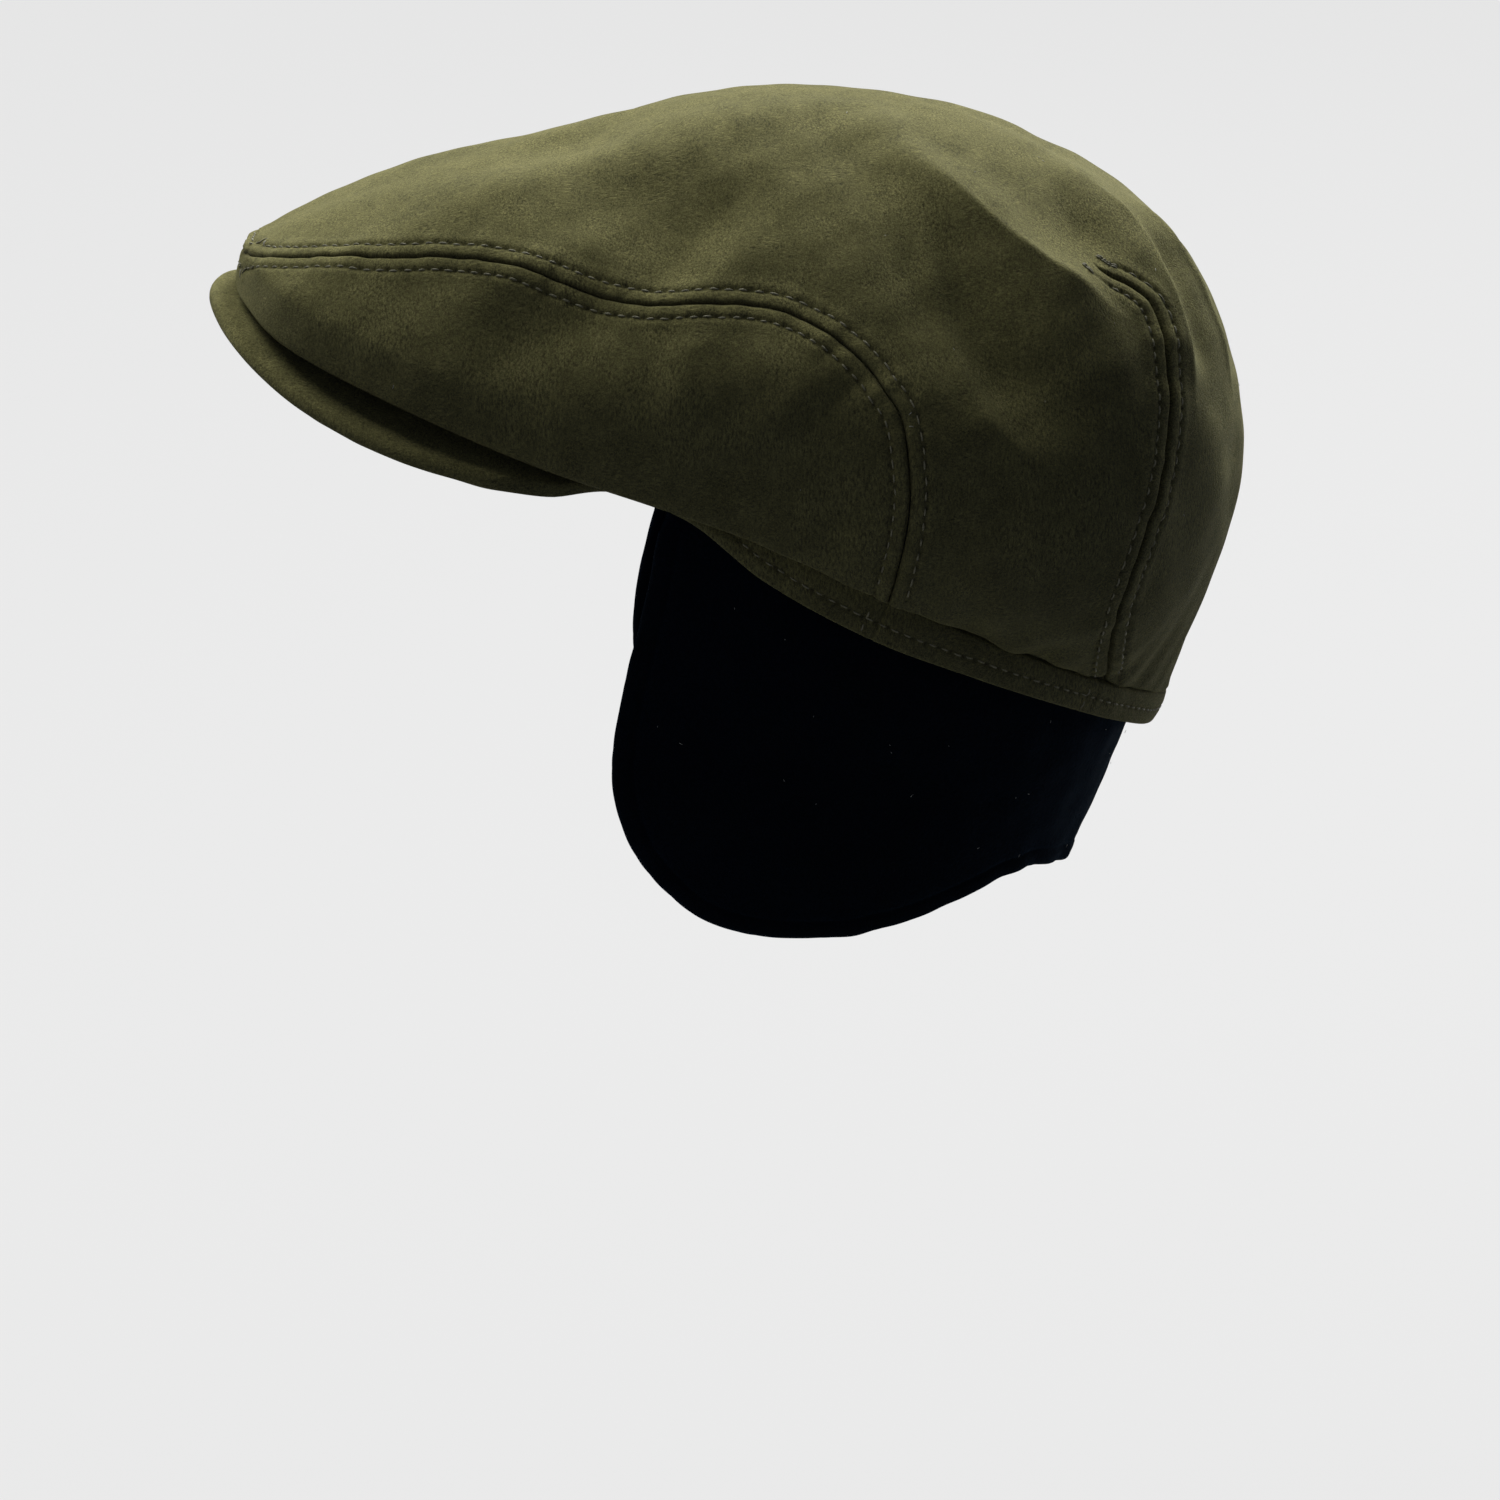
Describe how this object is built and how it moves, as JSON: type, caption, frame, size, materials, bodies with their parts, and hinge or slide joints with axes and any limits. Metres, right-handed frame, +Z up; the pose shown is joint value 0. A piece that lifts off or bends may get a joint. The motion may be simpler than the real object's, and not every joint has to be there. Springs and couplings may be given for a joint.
{
  "type": "earflap cap",
  "caption": "Suede flat cap with a duckbill front, curved peak and a folded-down fleece flap that covers the ears and neck.",
  "frame": {"origin": "middle of the head opening, where the cap sits on the head", "axes": "+Z up as worn, -Y to the front of the cap, +X to the wearer's left; the cap is tilted back 23 degrees"},
  "size_m": [0.1938, 0.2636, 0.2058],
  "materials": {
    "suede": "matte olive suede with a short nap",
    "fleece": "matte near-black brushed fleece"
  },
  "bodies": {
    "root": {"crown_top": "suede", "side_panel_left": "suede", "side_panel_right": "suede", "rim_band": "suede", "peak": "suede", "ear_flap": "fleece"}
  },
  "joints": []
}
